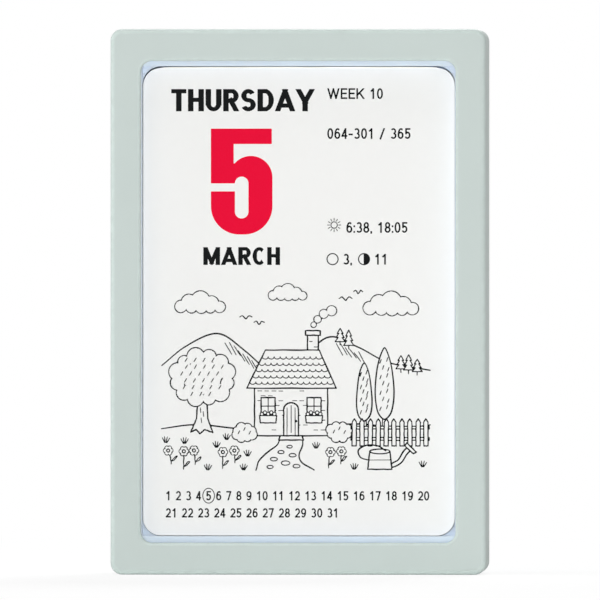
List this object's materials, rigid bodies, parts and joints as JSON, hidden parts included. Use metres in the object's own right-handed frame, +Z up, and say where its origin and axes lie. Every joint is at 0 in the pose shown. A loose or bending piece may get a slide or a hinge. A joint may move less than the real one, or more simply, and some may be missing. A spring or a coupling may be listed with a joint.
{
  "type": "tear off day calendar",
  "caption": "Upright moulded frame with a deep well that holds a glued block of dated tear-off leaves, standing on its flat base or hung on a nail.",
  "frame": {"origin": "under the middle of the casing, on the surface that it stands on", "axes": "+X to the right of someone reading the leaf, +Y to the back, +Z up; the window faces -Y"},
  "size_m": [0.0964, 0.03, 0.14],
  "materials": {
    "frame_polystyrene": "moulded, satin, pale grey green",
    "tray_polystyrene": "moulded, satin, pale blue white",
    "foam_tape": "matt closed cell foam",
    "grey_board": "matt pressed board",
    "padding_glue": "dried white glue",
    "leaf_paper": "uncoated white offset paper"
  },
  "bodies": {
    "casing_front": {"front_frame": "frame_polystyrene"},
    "casing_back": {"rear_tray": "tray_polystyrene"},
    "refill_block": {"mounting_pads": "foam_tape", "back_card": "grey_board", "head_glue": "padding_glue", "december_leaves": "leaf_paper", "november_leaves": "leaf_paper", "october_leaves": "leaf_paper", "september_leaves": "leaf_paper", "august_leaves": "leaf_paper", "july_leaves": "leaf_paper", "june_leaves": "leaf_paper", "may_leaves": "leaf_paper", "april_leaves": "leaf_paper", "march_leaves": "leaf_paper", "tomorrows_leaf": "leaf_paper"},
    "top_leaf": {"todays_leaf": "leaf_paper"}
  },
  "joints": [
    {"name": "tray_slide", "type": "slide", "parent": "casing_front", "child": "casing_back", "axis": [0, 1, 0], "range_m": [0, 0.04]},
    {"name": "block_slide", "type": "slide", "parent": "casing_back", "child": "refill_block", "axis": [0, -1, 0], "range_m": [0, 0.035]},
    {"name": "leaf_lift", "type": "hinge", "parent": "refill_block", "child": "top_leaf", "pos_m": [0, -0.00967, 0.13], "axis": [-1, 0, 0], "range_deg": [0, 90]}
  ]
}
